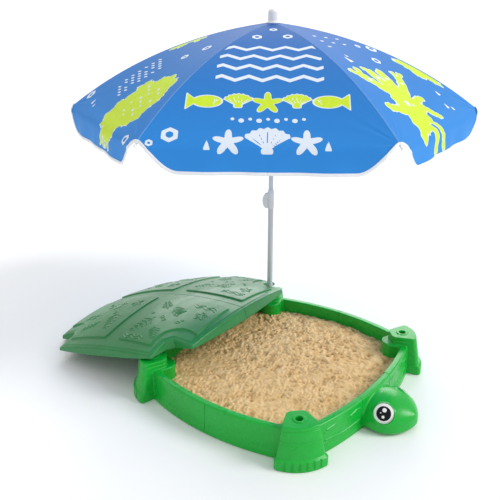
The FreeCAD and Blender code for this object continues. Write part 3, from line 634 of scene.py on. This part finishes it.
def make_sand(look):
    """A grid of heights over the cavity, its last points pulled onto the cavity's outline."""
    xs, ys = np.arange(-424, 424, STEP_SAND), np.arange(-466, 466, STEP_SAND)
    x, y = np.meshgrid(xs, ys, indexing="ij")
    inside = sand_plan(x, y) < 0
    cells = inside[:-1, :-1] | inside[1:, :-1] | inside[:-1, 1:] | inside[1:, 1:]
    for _ in range(4):
        value = sand_plan(x, y)
        dx = (sand_plan(x + GRADIENT_STEP, y) - sand_plan(x - GRADIENT_STEP, y)) / (2 * GRADIENT_STEP)
        dy = (sand_plan(x, y + GRADIENT_STEP) - sand_plan(x, y - GRADIENT_STEP)) / (2 * GRADIENT_STEP)
        pull = np.where(value > 0, value / np.maximum(dx * dx + dy * dy, 0.2), 0)
        x, y = x - pull * dx, y - pull * dy
    used, faces = np.unique(grid_faces(*x.shape)[cells.ravel()], return_inverse=True)
    z, crumble = sand_height(x, y)
    points = np.stack([x.ravel(), y.ravel(), z.ravel()], 1)[used]
    mesh = bpy.data.meshes.new("sand_bed")
    mesh.from_pydata((points * MM).tolist(), [], faces.reshape(-1, 4).tolist())
    # the crumble relief is held on the mesh so that the sand's material can paint shade into its hollows
    attribute(mesh, "crumble", crumble.ravel()[used])
    made = bmesh.new()
    made.from_mesh(mesh)
    rim = [edge for edge in made.edges if edge.is_boundary]
    skirt = bmesh.ops.extrude_edge_only(made, edges=rim)["geom"]
    for vert in skirt:
        if isinstance(vert, bmesh.types.BMVert):
            vert.co.z = SAND_LOW_Z * MM
    loop = [edge for edge in made.edges if edge.is_boundary]
    bmesh.ops.contextual_create(made, geom=loop)
    made.to_mesh(mesh)
    made.free()
    dress(link("sand_bed", smooth(mesh)), "tub", look, "sand", "sand_fill")


# --- lid ---
PANEL_X, PANEL_Y = (62.0, 388.0), (48.0, 416.0)
TAIL_PANEL_X = (-390.0, -14.0)
ARCH_X, ARCH_Y, ARCH_R = 338.0, 372.0, 96.0
PANEL_LIFT = 6.5


def lined_shell(x, y, cx, cy, size, turn):
    """A fan shell as raised lines: its outline and ribs from one point."""
    px, py = turned(x, y, cx, cy, turn)
    radius, angle = np.hypot(px, py + size * 0.8), np.arctan2(px, py + size * 0.8)
    edge = size * (1.55 + 0.07 * np.cos(angle * 14))
    outline = np.maximum(np.abs(radius - edge), np.abs(angle) * radius - 0.72 * size * 1.5)
    ribs = np.abs(((angle + 0.72) % 0.24) - 0.12) * radius
    ribs = most(ribs, radius - edge, size * 0.35 - radius, (np.abs(angle) - 0.72) * 99)
    return np.minimum(outline, ribs)


def waves(x, y, cx, cy, length, height, rows):
    """Rows of rolling lines."""
    px, py = x - cx, y - cy
    roll = height * 0.5 * np.sin(px / height * 1.5)
    lines = least(*[np.abs(py - i * height * 1.6 - roll) for i in range(rows)])
    return np.maximum(lines, np.abs(px) - length / 2)


def weed(x, y, cx, cy, size, turn):
    """A frond: a stem with leaves in pairs."""
    px, py = turned(x, y, cx, cy, turn)
    best = capsule(px, py, (0, -size), (0, size), 0)
    for i in range(5):
        base, length = -size * 0.75 + i * size * 0.36, size * (0.62 - 0.08 * i)
        best = np.minimum(best, capsule(np.abs(px), py, (0, base), (length * 0.8, base + length * 0.6), 0))
    return best


def lined_star(x, y, cx, cy, size, turn):
    radius, angle = np.hypot(x - cx, y - cy), np.arctan2(y - cy, x - cx) + turn
    return np.abs(radius - size * (0.68 + 0.3 * np.cos(5 * angle)))


def circle(x, y, cx, cy, r):
    return np.abs(np.hypot(x - cx, y - cy) - r)


LID_MOTIFS = (
    (lined_shell, 215, 165, 46, 0.3 * math.pi), (weed, 110, 300, 62, 0.4), (weed, 205, 340, 44, -0.5),
    (weed, 112, 135, 44, 2.4), (lined_star, 325, 170, 30, 0.4), (waves, 300, 92, 110, 11, 2),
    (waves, 130, 385, 100, 10, 2), (weed, -90, 290, 70, -0.3), (lined_shell, -190, 160, 44, 2.6),
    (lined_star, -80, 130, 32, 0.9), (weed, -200, 330, 50, 0.9), (waves, -270, 230, 90, 10, 3),
    (circle, 165, 235, 9), (circle, 188, 252, 6), (circle, 262, 250, 8), (circle, 275, 232, 5),
    (circle, -140, 220, 9), (circle, -122, 240, 6), (circle, -255, 130, 7), (circle, 96, 215, 6))


def lid_plan(x, y):
    """The lid seen from above, with a notch at each corner for a leg."""
    plan = bowed(x, y, LID_X, LID_X_BOW, LID_PLAN_HALF, LID_Y, LID_Y_BOW, LID_PLAN_HALF, 12)
    nx, ny = np.abs(x) - LID_NOTCH_X, np.abs(y) - LID_NOTCH_Y
    notch = np.maximum(np.maximum(-nx, -ny), (26 - nx - ny) / math.sqrt(2))
    return without(plan, notch, 7)


def lid_relief(x, y, plan):
    """How far the lid's top stands above its plain dome."""
    ay = np.abs(y)
    front = slab(x, ay, *PANEL_X, *PANEL_Y, 14)
    tail = slab(x, ay, *TAIL_PANEL_X, *PANEL_Y, 14)
    arches = np.hypot(np.abs(x) - ARCH_X, ay - ARCH_Y) - ARCH_R
    panels = without(np.minimum(front, tail), arches, 12)
    lift = PANEL_LIFT * ease(0.5 - panels / 6)
    lines = drawn(x, ay, LID_MOTIFS)
    lift = lift + 2.0 * ease(1.7 - lines / 2.2) * (panels < -9)
    return lift - 2.4 * ease((plan + 20) / 9)


def lid_field(sign):
    """Half of the domed shell with its skirt; sign is the side of the seam."""
    ball = cap_radius(LID_REACH, LID_H - LID_SKIRT)

    def field(x, y, z):
        plan = lid_plan(x, y)
        crown = np.sqrt(np.maximum(ball ** 2 - x * x - y * y, 0)) + LID_H - ball - PANEL_LIFT
        outer = both(plan + 2.5 * ease(z / 30), z - crown - lid_relief(x, y, plan), 6)
        lip = both(plan, z - 6, 1.5)
        outer = either(both(outer, 0.2 - z, 1.5), both(lip, 0.2 - z, 1.5), 1.5)
        inner = both(plan + 8, z - crown + 8, 6)
        shell = without(outer, inner, 1)
        return both(shell, 0.25 - sign * y, 1.0)
    return field


def lid_place():
    """The lean: a turn in its own plane, a tilt about its tail edge, and its place."""
    ground = JOINTS["lid_tip"]["pos_m"][0] / MM
    radius = cap_radius(LID_PLAN_HALF, LID_X_BOW)
    reach = radius - (radius - LID_X) * math.cos(math.radians(LID_YAW))
    tilt = math.acos((LID_CENTRE_X - ground) / reach)
    place = Matrix.Translation(Vector((LID_CENTRE_X, 0, reach * math.sin(tilt))) * MM)
    return place @ Matrix.Rotation(-tilt, 4, "Y") @ Matrix.Rotation(math.radians(LID_YAW), 4, "Z")


def make_lid(look):
    for name, sign in (("near", -1), ("far", 1)):
        low = (-LID_X - 4, 0 if sign > 0 else -LID_Y - 4, 0)
        high = (LID_X + 4, LID_Y + 4 if sign > 0 else 0, LID_H + 2)
        obj = skin("lid_%s_moulding" % name, lid_field(sign), low, high, STEP_LID, 0.0, lid_place())
        dress(obj, "lid", look, "lid_plastic", "lid_half_" + name)


# --- sunshade cloth ---
def cloth_height(r):
    """Height of the cloth over a rib."""
    length = math.hypot(SHADE_R - SHADE_HOLE_R, SHADE_TOP_Z - SHADE_TIP_Z)
    radius = (length ** 2 / 4 + RIB_ARCH ** 2) / (2 * RIB_ARCH)
    nr, nz = (SHADE_TOP_Z - SHADE_TIP_Z) / length, (SHADE_R - SHADE_HOLE_R) / length
    cr = (SHADE_HOLE_R + SHADE_R) / 2 - nr * (radius - RIB_ARCH)
    cz = (SHADE_TOP_Z + SHADE_TIP_Z) / 2 - nz * (radius - RIB_ARCH)
    return cz + np.sqrt(radius ** 2 - (r - cr) ** 2)


def hexagon(a, b, ca, cb, r, width=5.0):
    """A six-sided ring."""
    px, py = np.abs(a - ca), np.abs(b - cb)
    return np.abs(np.maximum(px, px * 0.5 + py * 0.866) - r) - width


def zigzag(a, b, cb, half, swing, width):
    """A zigzag line across the panel."""
    wave = np.abs(((a + 2 * half) % 100) / 50 - 1) - 0.5
    return np.maximum(np.abs(b - cb + swing * wave), np.abs(a) - half) - width


def splash(a, b, ca, cb, ra, rb, teeth, depth, turn=0.0):
    """A blot with a ragged edge."""
    px, py = turned(a, b, ca, cb, turn)
    px, py = px / ra, py / rb
    angle = np.arctan2(py, px)
    ragged = 1 + depth * np.cos(teeth * angle) + 0.5 * depth * np.cos((2 * teeth + 3) * angle + 1)
    return (np.hypot(px, py) - ragged) * min(ra, rb)


def fan_shell(a, b, ca, cb, size):
    """A filled fan shell with a scalloped edge, fine grooves and a small hinge."""
    px, py = a - ca, cb + size * 0.75 - b
    radius, angle = np.hypot(px, py), np.arctan2(px, py)
    edge = size * (1.62 + 0.06 * np.cos(angle * 7 * math.pi / 0.95))
    body = np.maximum(radius - edge, (np.abs(angle) - 0.95) * radius)
    groove = np.abs(((angle + 0.95) % 0.38) - 0.19) * radius - 1.8
    groove = np.maximum(groove, np.maximum(size * 0.5 - radius, radius - size * 1.34))
    hinge = slab(px, py, -size * 0.34, size * 0.34, -size * 0.14, size * 0.16, size * 0.1)
    return np.minimum(np.maximum(body, -groove), hinge)


def fish(a, b, ca, cb, size, way=1):
    """A plain fish: body, tail, a gill line and an eye left open."""
    px, py = (a - ca) * way, b - cb
    body = (np.hypot(px / 1.25, py / 0.72) - size) * 0.72
    tail = np.maximum(np.abs(py) + (px + size * 0.85) * 0.95, -px - size * 1.85)
    gill = np.maximum(np.abs(np.hypot(px + size * 0.1, py) - size * 0.75) - 1.9, np.abs(py) - size * 0.42)
    gill = np.maximum(gill, -px)
    eye = np.hypot(px - size * 0.85, py + size * 0.12) - size * 0.11
    return np.maximum(np.minimum(body, tail), -np.minimum(gill, eye))


def star(a, b, ca, cb, size, turn=0.0):
    angle = np.arctan2(b - cb, a - ca) + turn
    return np.hypot(a - ca, b - cb) - size * (0.66 + 0.3 * np.cos(5 * angle))


def drop(a, b, ca, cb, size):
    """A small triangle, pointing up the panel."""
    py = (b - cb) / size
    return np.maximum(np.abs(a - ca) - size * 0.4 * (py + 1) / 2 * 1.6, np.abs(py) * size - size)


def spot(a, b, ca, cb, r, squeeze=1.0):
    return np.hypot(a - ca, (b - cb) * squeeze) - r


def front_print(a, b):
    """Rings, zigzag lines and, in place of lettering, rows of plain sea shapes."""
    lime = [(fish, -218, 646, 40), (fan_shell, -108, 640, 38), (star, -4, 650, 56, math.pi / 10),
            (fan_shell, 100, 640, 38), (fish, 210, 646, 40, -1)]
    white = [(hexagon, 5, 105, 11), (hexagon, -58, 196, 14), (hexagon, 64, 190, 14),
             (hexagon, -336, 806, 21, 8), (hexagon, -404, 842, 9, 4), (star, -134, 834, 58, math.pi / 10),
             (fan_shell, 0, 824, 62), (star, 134, 834, 58, math.pi / 10), (drop, -206, 846, 20),
             (drop, 206, 846, 20)]
    for i, half in enumerate((172, 182, 188, 188)):
        white.append((zigzag, 306 + 70 * i, half, 26, 10))
    for i in range(9):
        white.append((spot, 31 * i - 124, 730 + 7 * (i % 2), 10 if i % 2 else 7))
    return drawn(a, b, lime), drawn(a, b, white)


def ragged(a, b):
    """A small wandering edge for hand-cut shapes."""
    return 6 * np.sin(a / 11.0 + 1.2 * np.sin(b / 17.0)) * np.sin(b / 12.5) + 3 * np.sin(a / 4.7 + b / 5.9)


def left_print(a, b):
    """A sponge of overlapping lobes with pale marks, a smaller one, and rows of dashes."""
    lime = [(splash, 170, 610, 88, 82, 8, 0.07), (splash, 90, 660, 92, 70, 9, 0.07, 0.6),
            (splash, 188, 730, 92, 92, 9, 0.06, 0.3), (splash, 60, 770, 92, 74, 8, 0.07, 1.1),
            (splash, 130, 830, 80, 66, 7, 0.08, 0.5), (splash, 236, 655, 52, 60, 6, 0.08),
            (splash, -205, 320, 46, 62, 6, 0.10, -0.5), (splash, -160, 262, 42, 44, 6, 0.10, -0.5)]
    for i in range(4):
        lime.append((capsule, (84 + 26 * i, 850), (60 + 32 * i, 918), 12 - 3 * (i % 2)))
    white = [(hexagon, -366, 756, 17, 7), (hexagon, 61, 322, 15), (hexagon, 16, 408, 12),
             (hexagon, 345, 852, 15), (drop, -262, 776, 17), (drop, -222, 790, 12)]
    for i in range(5):
        for j in range(7):
            p, q = -205 + 26 * i + 9 * j, 655 - 32 * j + 12 * i
            if (3 * i + j) % 7:
                white.append((capsule, (p, q), (p + 15, q - 4), 4.6))
    for i in range(14):
        p, q = 72 + 37 * (i % 5) + 11 * (i // 5), 610 + 62 * (i // 5) + 17 * (i % 3)
        white.append((capsule, (p, q), (p + 9, q + 5), 5.5 - (i % 3)))
    return drawn(a, b, lime) + ragged(a, b), drawn(a, b, white)


def right_print(a, b):
    """A branching coral: a lobed heart with forked arms above and roots below."""
    lime = [(splash, -105, 720, 88, 100, 7, 0.10, 0.2), (splash, -150, 790, 62, 60, 6, 0.10),
            (splash, 300, 560, 62, 120, 6, 0.14, -0.5)]
    for stroke in (((-130, 640), (-190, 520), 26), ((-190, 520), (-168, 470), 13),
                   ((-190, 520), (-218, 476), 12), ((-110, 630), (-98, 512), 25),
                   ((-98, 512), (-112, 480), 14), ((-75, 640), (-30, 522), 24), ((-45, 660), (45, 585), 22),
                   ((45, 585), (58, 535), 12), ((45, 585), (94, 556), 12), ((-180, 730), (-262, 690), 22),
                   ((-170, 800), (-240, 860), 18), ((-110, 850), (-130, 925), 19),
                   ((-60, 830), (-40, 925), 14), ((-20, 740), (35, 800), 17), ((-20, 700), (40, 700), 16)):
        lime.append((capsule, *stroke))
    white = [(hexagon, 184, 367, 18, 7), (hexagon, 74, 448, 16), (hexagon, 120, 330, 9, 4),
             (drop, -117, 406, 22), (drop, -88, 380, 11), (drop, 226, 700, 17), (drop, 188, 770, 17),
             (drop, 222, 790, 15)]
    for i in range(7):
        p, q = -92 + 27 * i, 300 - 26 * ((2 * i) % 5)
        white.append((capsule, (p, q), (p + 12, q + 3), 4.5))
    for row in ((-175, 545, 9), (-98, 545, 9), (-38, 560, 9), (30, 604, 8), (-110, 700, 13), (-78, 716, 6)):
        white.append((spot, *row, 0.8))
    return drawn(a, b, lime) + 0.7 * ragged(a, b), drawn(a, b, white)


PRINTS = {1: left_print, 2: front_print, 3: right_print, 4: left_print, 5: front_print, 6: right_print}


def valance_depth(reach):
    """Length of the valance at a distance along the edge from the rib's tip."""
    return VALANCE * np.sin(np.clip((reach - 5) / VALANCE_CUT, 0.004, 1) * math.pi / 2) ** 1.1


def hang():
    """How far out and down the valance comes, by its own length: it rolls over and then hangs."""
    length = np.linspace(0, VALANCE, 200)
    start = math.atan2(float(cloth_height(SHADE_R - 20) - cloth_height(SHADE_R)), 20 * math.cos(HALF_PANEL))
    angle = start + (VALANCE_LEAN - start) * ease(length / VALANCE_ROLL)
    step = length[1]
    return length, np.cumsum(np.cos(angle)) * step, np.cumsum(np.sin(angle)) * step


def cloth_points():
    """Grid of one sector: across from panel centre to panel centre, down to the valance's hem."""
    radii = np.linspace(SHADE_HOLE_R, SHADE_R, ROWS)
    side = np.linspace(0, 1, COLUMNS) ** 1.25
    across = np.concatenate([-side[::-1][:-1], side])
    r, s = np.meshgrid(radii, across, indexing="ij")
    reach = r * math.sin(HALF_PANEL) * np.abs(s)
    x = r - reach * math.sin(HALF_PANEL)
    y = np.sign(s) * reach * math.cos(HALF_PANEL)
    z = cloth_height(r)
    edge_reach = SHADE_R * math.sin(HALF_PANEL) * np.abs(across)
    drops = np.linspace(0, 1, VALANCE_ROWS + 1)[1:, None]
    along = drops * valance_depth(edge_reach)[None, :]
    length, out, down = hang()
    fade = ease(edge_reach / 140) * ease((SHADE_R / 2 - edge_reach) / 60)
    ripple = (4.0 * np.sin(edge_reach / 36 + 1.3) * fade)[None, :]
    away = np.interp(along, length, out) + ripple * drops ** 1.5
    x = np.vstack([x, x[-1] + away * math.cos(HALF_PANEL)])
    y = np.vstack([y, y[-1] + away * np.sign(across)[None, :] * math.sin(HALF_PANEL)])
    z = np.vstack([z, z[-1] - np.interp(along, length, down)])
    hanging = np.vstack([np.zeros((ROWS, len(across))), along])
    return radii, across, np.stack([x, y, z], -1), hanging


def wrinkles(points, across, index):
    """Pull lines that fan out from the rib's tip, and soft slack in the panels."""
    away = points - np.array([SHADE_R, 0, SHADE_TIP_Z])
    distance = np.linalg.norm(away, axis=-1)
    side = np.arctan2(np.abs(away[..., 1]), -away[..., 0] - 0.4 * away[..., 2])
    fold = np.sin(side * 19 + index) + 0.6 * np.sin(side * 31 + 2 * index)
    lift = 2.3 * fold * np.exp(-distance / 85) * ease(distance / 25) * ease(np.abs(across)[None, :] * 9)
    r = np.hypot(points[..., 0], points[..., 1])
    slack = -4.0 * np.sin(math.pi * np.clip(np.abs(across), 0, 1) * 0.5)[None, :] ** 2 * ease(r / 700)
    return lift + slack * ease((points[..., 2] - SHADE_TIP_Z) / 40)


def normals_of(points):
    normal = unit(np.cross(np.gradient(points, axis=1), np.gradient(points, axis=0)))
    return normal * np.sign(normal[..., 2:3].mean())


def print_cloth(mesh, index, radii, across, hanging, down):
    """Hold the prints' distances and the weave's directions on the mesh: a across, b down the panel."""
    below = hanging.shape[0] - ROWS
    b = np.repeat(down[:, None], len(across), 1)
    b = np.vstack([b, b[-1] + hanging[ROWS:]])
    width = np.concatenate([radii, np.full(below, SHADE_R)])[:, None] * math.sin(HALF_PANEL)
    a = width * (1 - np.abs(across))[None, :] * np.where(across > 0, -1, 1)[None, :]
    lime, white = np.full(a.shape, 99.0), np.full(a.shape, 99.0)
    for here, panel in ((across > 0, index + 1), (across <= 0, (index - 1) % RIBS + 1)):
        ink, chalk = PRINTS[panel](a, b)
        lime[:, here], white[:, here] = ink[:, here], chalk[:, here]
    # no print within 14 mm of a seam
    near_rib = width * np.abs(across)[None, :] < 14
    attribute(mesh, "lime", np.where(near_rib, 99, lime) * MM)
    attribute(mesh, "white", np.where(near_rib, 99, white) * MM)
    attribute(mesh, "down", b / b.max())
    attribute(mesh, "seam", np.abs(width * across[None, :]) * MM)
    weave = mesh.uv_layers.new(name="weave")
    corners = np.zeros(len(mesh.loops), int)
    mesh.loops.foreach_get("vertex_index", corners)
    spots = np.stack([a * MM, b * MM], -1).reshape(-1, 2)[corners]
    weave.data.foreach_set("uv", spots.astype(np.float32).ravel())


def make_cloth(index, outside, inside, white):
    """One sector of the canopy, centred on its rib, with its hem."""
    radii, across, points, hanging = cloth_points()
    seam_ridge = 0.7 * np.exp(-(points[..., 1] / 2.6) ** 2)
    seam_ridge[ROWS:] = 0
    lift = wrinkles(points, across, index)
    lift[0] = 0
    points = points + normals_of(points) * lift[..., None]
    points[..., 2] += seam_ridge
    body = "rib_body_%d" % (index + 1)
    turn = Matrix.Rotation(math.radians(FIRST_RIB_AZ + RIB_TURN * index), 4, "Z")
    matrix = np.array(Matrix.Translation((POLE.x, POLE.y, 0)) @ turn)
    world = (points * MM) @ matrix[:3, :3].T + matrix[:3, 3]
    name = "cloth_sector_%d" % (index + 1)
    mesh = smooth_mesh(name, world.reshape(-1, 3).tolist(), grid_faces(*points.shape[:2]).tolist())
    middle = radii * math.cos(HALF_PANEL)
    down = np.concatenate([[0], np.cumsum(np.hypot(np.diff(middle), np.diff(cloth_height(radii))))])
    print_cloth(mesh, index, radii, across, hanging, down)
    obj = link(name, mesh)
    mesh.materials.append(outside)
    mesh.materials.append(inside)
    thick = obj.modifiers.new("cloth", "SOLIDIFY")
    thick.thickness, thick.offset, thick.material_offset = CLOTH * MM, -1.0, 1
    thick.use_rim = False
    hem = make_hem(name.replace("cloth_sector", "hem"), world[-1], world[-2], white, body)
    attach(obj, body)
    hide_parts("cloth_%d" % (index + 1))
    for piece in (obj, hem):
        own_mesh(piece)


def make_hem(name, edge, above, white, body):
    """The white binding folded over the cloth's lower edge: a flat tube along it."""
    up = unit(above - edge) * 0.3 + np.array([0, 0, 0.7])
    along = unit(np.gradient(edge, axis=0))
    out = unit(np.cross(along, up))
    rise = np.cross(out, along)
    count, faces = 10, []
    a = 2 * math.pi * np.arange(count)[:, None] / count
    points = edge[:, None] + (out[:, None] * 1.7 * np.cos(a) + rise[:, None] * (4.6 + 6.2 * np.sin(a))) * MM
    for i in range(len(edge) - 1):
        for j in range(count):
            k, n = i * count, (j + 1) % count
            faces.append((k + j, k + n, k + count + n, k + count + j))
    faces.append(tuple(range(count))[::-1])
    faces.append(tuple((len(edge) - 1) * count + j for j in range(count)))
    mesh = smooth_mesh(name, points.reshape(-1, 3).tolist(), faces)
    return dress(link(name, mesh), body, white, "shade_cloth")


# --- sunshade fittings ---
def rounded(profile, steps, radius, base, rise):
    """The profile with a round end added, closed on the axis."""
    for i in range(1, steps + 1):
        a = math.radians(90 * i / steps)
        profile.append((radius * math.cos(a) if i < steps else 0, base + rise * math.sin(a)))
    return profile


def make_finial(look):
    """The cap on the pole's top: a flange, a straight side and a round end."""
    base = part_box("finial")[1].z / MM - 60
    profile = [(0, 0), (29, 0), (29.2, 1), (28.6, 3.4), (26, 4.2), (22.6, 4.8), (21.6, 6.5), (21, 10),
               (20.6, 30), (20.2, 42)]
    centre = Vector((POLE.x / MM, POLE.y / MM, base))
    cap = lathe("finial_cap", rounded(profile, 8, 20.2, 42, 17.8), centre, Vector((0, 0, 1)))
    dress(cap, "upper_mast", look, "white_plastic", "finial")


def make_tips(look):
    """The moulded ends over the ribs, with a collar and a round tip."""
    for i in range(RIBS):
        node = "rib_cap_%d" % (i + 1)
        turn = math.radians(FIRST_RIB_AZ + RIB_TURN * i)
        slope = math.atan2(float(cloth_height(SHADE_R - 24) - cloth_height(SHADE_R - 4)), 20.0)
        axis = Vector((math.cos(turn) * math.cos(slope), math.sin(turn) * math.cos(slope), -math.sin(slope)))
        low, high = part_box(node)
        middle = (low + high) / 2 / MM
        profile = [(0, -14.5), (3.4, -14.5), (4.4, -13.6), (4.4, -9), (3.9, -7.5), (3.9, 4), (4.5, 6),
                   (4.5, 10)]
        cap = lathe(node + "_tip", rounded(profile, 5, 4.5, 10, 4.4), middle, axis, 24)
        dress(cap, "rib_body_%d" % (i + 1), look, "white_plastic", node)


def finish_nodes(looks):
    """Material for every CAD node, and rounded edges for the lock, crown, runner and pole plug pieces that stay in
    sight.
    """
    slots = {part["node"]: part["material_slot"] for part in frame["record"]["subparts"]}
    for name, obj in frame["nodes"].items():
        obj.data.materials.clear()
        obj.data.materials.append(looks[slots[name]])
        if not obj.hide_render and name.startswith(("lock", "crown", "runner", "pole_plug")):
            weld = obj.modifiers.new("weld", "WELD")
            weld.merge_threshold = 0.01 * MM
            bevel = obj.modifiers.new("edge", "BEVEL")
            bevel.width, bevel.segments, bevel.angle_limit = 0.5 * MM, 2, math.radians(35)


# --- light, floor and camera ---
def make_studio():
    """Soft white surroundings, a broad soft sun from the right and behind, and a pale floor."""
    scene = bpy.context.scene
    scene.view_settings.view_transform = "Standard"
    world = bpy.data.worlds.new("studio")
    world.use_nodes = True
    back = world.node_tree.nodes["Background"]
    back.inputs["Color"].default_value = (0.97, 0.985, 1.0, 1)
    back.inputs["Strength"].default_value = SKY
    scene.world = world
    for name, azimuth, elevation, strength, spread in SUNS:
        light = bpy.data.lights.new(name, "SUN")
        light.energy, light.angle = strength, math.radians(spread)
        lamp = bpy.data.objects.new(name, light)
        lamp.rotation_euler = (math.radians(90 - elevation), 0, math.radians(90 + azimuth))
        scene.collection.objects.link(lamp)
    corners = [(p * FLOOR_REACH, q * FLOOR_REACH, 0) for p, q in ((-1, -1), (1, -1), (1, 1), (-1, 1))]
    floor_mesh = bpy.data.meshes.new("floor")
    floor_mesh.from_pydata(corners, [], [(0, 1, 2, 3)])
    floor = link("floor", floor_mesh)
    paper = Look("floor", Base_Color=(0.95, 0.95, 0.95, 1), Roughness=0.9, Specular_IOR_Level=0.1)
    floor_mesh.materials.append(paper.material)


def make_camera():
    camera = bpy.data.objects.new("camera", bpy.data.cameras.new("camera"))
    camera.location = CAMERA_AT
    camera.rotation_euler = [math.radians(a) for a in CAMERA_TURN]
    camera.data.lens = CAMERA_LENS
    bpy.context.scene.collection.objects.link(camera)
    bpy.context.scene.camera = camera


def main():
    make_camera()
    make_studio()
    green = moulded("green_plastic", (0.003, 0.44, 0.040), (0.002, 0.375, 0.030), 0.27, 0.10, 0.0011)
    lid_green = moulded("lid_plastic", (0.022, 0.245, 0.058), (0.014, 0.195, 0.042), 0.34, 0.20, 0.0013)
    white = painted("white_plastic", (0.78, 0.79, 0.81))
    looks = {"green_plastic": green, "lid_plastic": lid_green, "sand": sand_look(), "white_plastic": white,
             "white_paint": painted("white_paint", (0.66, 0.68, 0.71), 0.30),
             "rib_steel": painted("rib_steel", (0.80, 0.81, 0.83), 0.35),
             "steel": metal("steel", (0.62, 0.63, 0.65), 0.3),
             "eye_white": eye_look("eye_white", (0.90, 0.90, 0.90), 0.18, 0.5),
             "eye_black": eye_look("eye_black", (0.004, 0.004, 0.006), 0.15, 0.22),
             "shade_cloth": cloth_look("shade_cloth", (0.004, 0.098, 0.38), (0.030, 0.255, 0.70), True)}
    # both cloths are painted darker at the top and lighter at the hem, as shade and light on the slope
    inside = cloth_look("shade_lining", (0.16, 0.30, 0.58), (0.22, 0.42, 0.75), False)
    hem_white = painted("hem_tape", (0.82, 0.84, 0.88), 0.6)
    make_tub(green)
    make_eyes(looks["eye_white"], looks["eye_black"])
    make_sand(looks["sand"])
    make_lid(lid_green)
    for index in range(RIBS):
        make_cloth(index, looks["shade_cloth"], inside, hem_white)
    make_finial(white)
    make_tips(white)
    finish_nodes(looks)


main()
bpy.context.view_layer.update()
